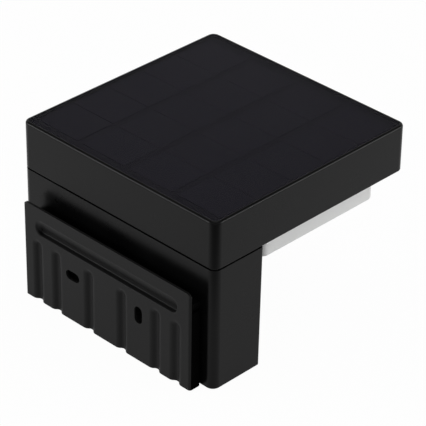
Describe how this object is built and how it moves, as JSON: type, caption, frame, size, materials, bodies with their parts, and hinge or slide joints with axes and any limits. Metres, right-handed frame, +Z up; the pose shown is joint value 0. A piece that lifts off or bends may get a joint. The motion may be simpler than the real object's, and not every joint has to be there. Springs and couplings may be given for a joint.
{
  "type": "solar wall light",
  "caption": "Square solar wall light: flat head with a solar panel on top, frosted light block below, battery leg behind, lifting off a pressed wall bracket, with a push button under the leg.",
  "frame": {"origin": "on the wall plane, midway between the wall bracket's two screw slots", "axes": "+Z up, +Y into the wall, the head reaches out along -Y"},
  "size_m": [0.1, 0.1058, 0.0709],
  "materials": {
    "bracket_steel": "satin black powder coat",
    "housing_plastic": "fine matte texture",
    "panel_film": "satin clear film",
    "solar_cell": "dark blue-black",
    "board_laminate": "solder mask",
    "white_laminate": "white solder mask",
    "led_package": "phosphor",
    "frosted_plastic": "frosted",
    "seal_foam": "closed-cell foam",
    "button_rubber": "matte",
    "screw_steel": "plated",
    "cell_can": "shrink sleeve",
    "contact_metal": "plated spring strip",
    "inner_plastic": "moulded",
    "lead_sleeve": "insulation"
  },
  "bodies": {
    "bracket": {"wall_bracket": "bracket_steel"},
    "lamp": {"head_housing": "housing_plastic", "solar_cover": "panel_film", "solar_cells": "solar_cell", "solar_backboard": "board_laminate", "panel_seal": "seal_foam", "diffuser": "frosted_plastic", "diffuser_seal": "seal_foam", "led_board": "white_laminate", "leds": "led_package", "led_board_screws": "screw_steel", "leg_housing": "housing_plastic", "head_screws": "screw_steel", "leg_base": "housing_plastic", "base_seal": "seal_foam", "base_screws": "screw_steel", "controller_board": "board_laminate", "board_components": "inner_plastic", "lead_connector": "white_laminate", "controller_screws": "screw_steel", "battery": "cell_can", "battery_holder": "inner_plastic", "battery_contacts": "contact_metal", "switch_body": "inner_plastic", "wire_grommet": "button_rubber", "panel_leads": "lead_sleeve", "led_leads": "lead_sleeve"},
    "button": {"switch_button": "button_rubber", "switch_plunger": "inner_plastic"}
  },
  "joints": [
    {"name": "lift_off", "type": "slide", "parent": "bracket", "child": "lamp", "axis": [0, 0, 1], "range_m": [0, 0.032]},
    {"name": "switch_press", "type": "slide", "parent": "lamp", "child": "button", "axis": [0, 0, 1], "range_m": [0, 0.001], "stiffness_N_per_m": 900, "springref_m": -0.001}
  ]
}
